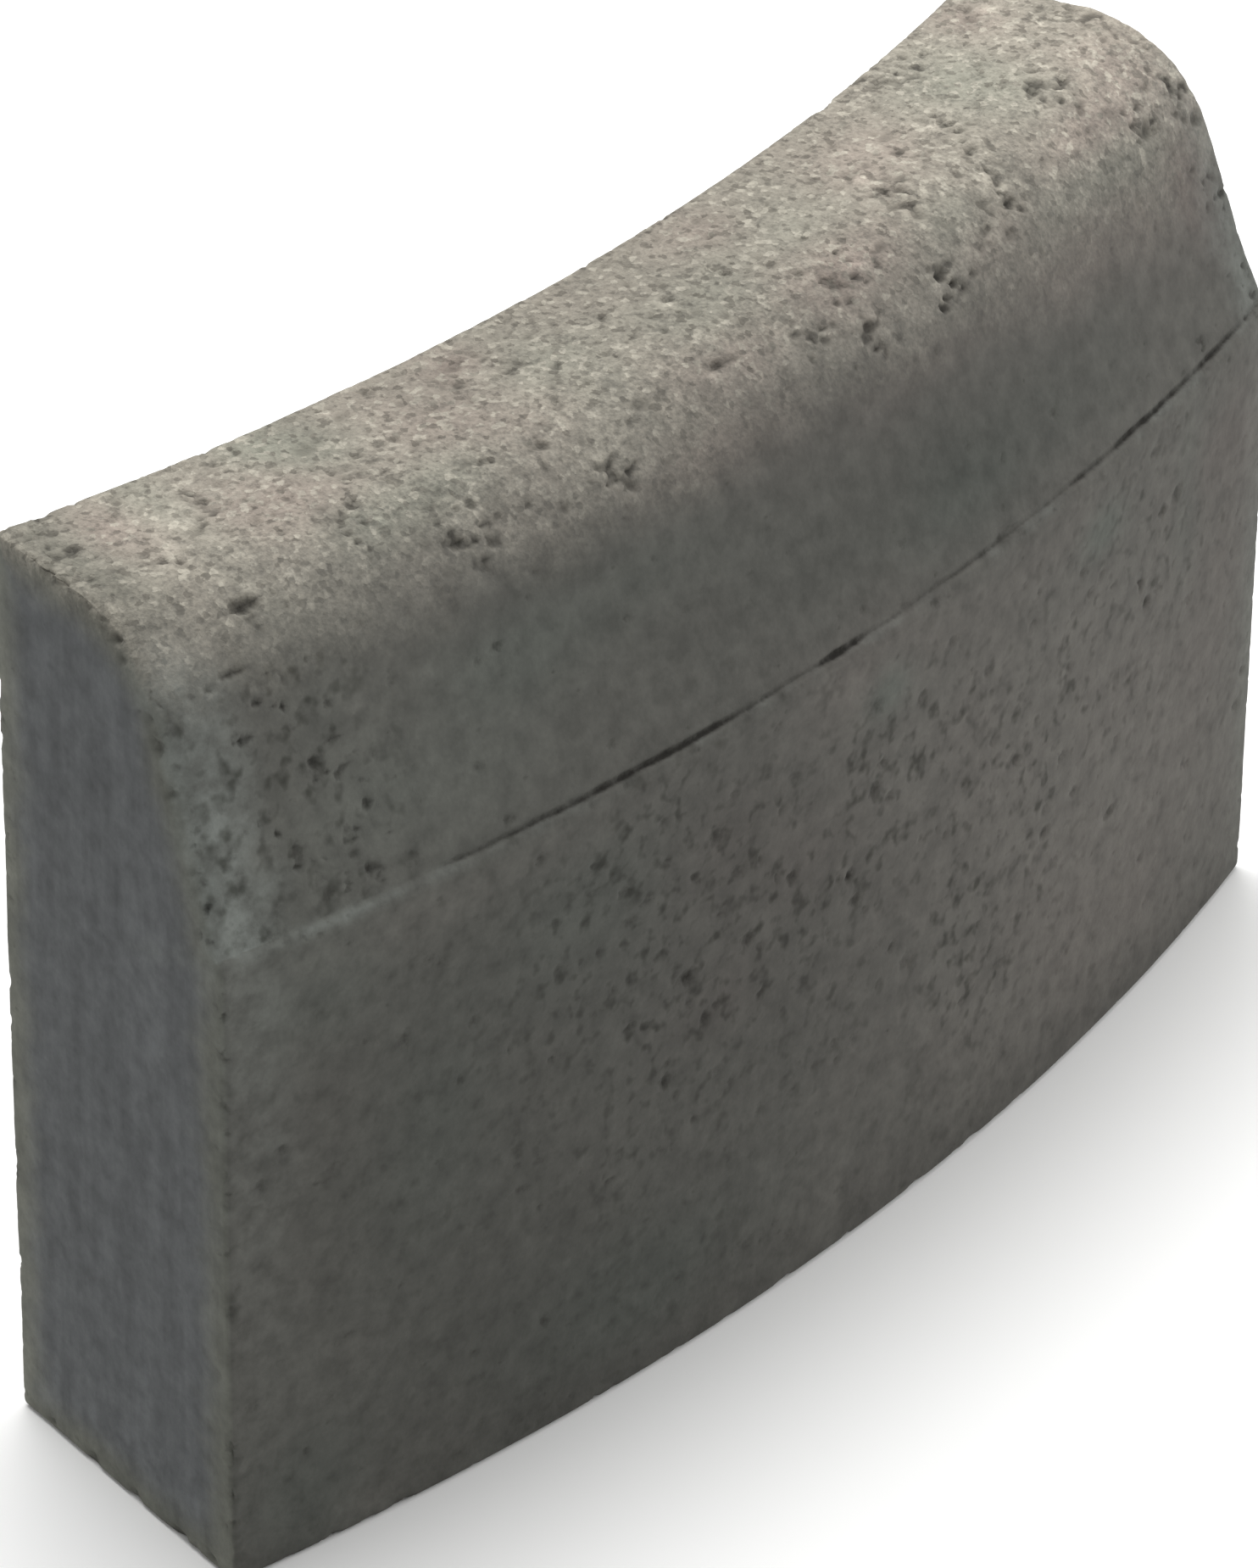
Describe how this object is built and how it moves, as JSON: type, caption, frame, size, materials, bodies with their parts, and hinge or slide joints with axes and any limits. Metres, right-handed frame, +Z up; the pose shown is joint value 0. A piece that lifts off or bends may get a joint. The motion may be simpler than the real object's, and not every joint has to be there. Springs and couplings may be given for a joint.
{
  "type": "radius kerb stone",
  "caption": "Curved concrete kerb stone with an upright convex face, a battered and rounded head, a narrow flat top and plain radial ends.",
  "frame": {"origin": "on the bed, under the middle of the stone's overall box", "axes": "+X runs along the stone's chord, -Y is the middle of the convex face, +Z is up from the bed to the flat top"},
  "size_m": [0.5, 0.137, 0.3],
  "materials": {
    "concrete": "matte"
  },
  "bodies": {
    "root": {"kerb_stone": "concrete"}
  },
  "joints": []
}
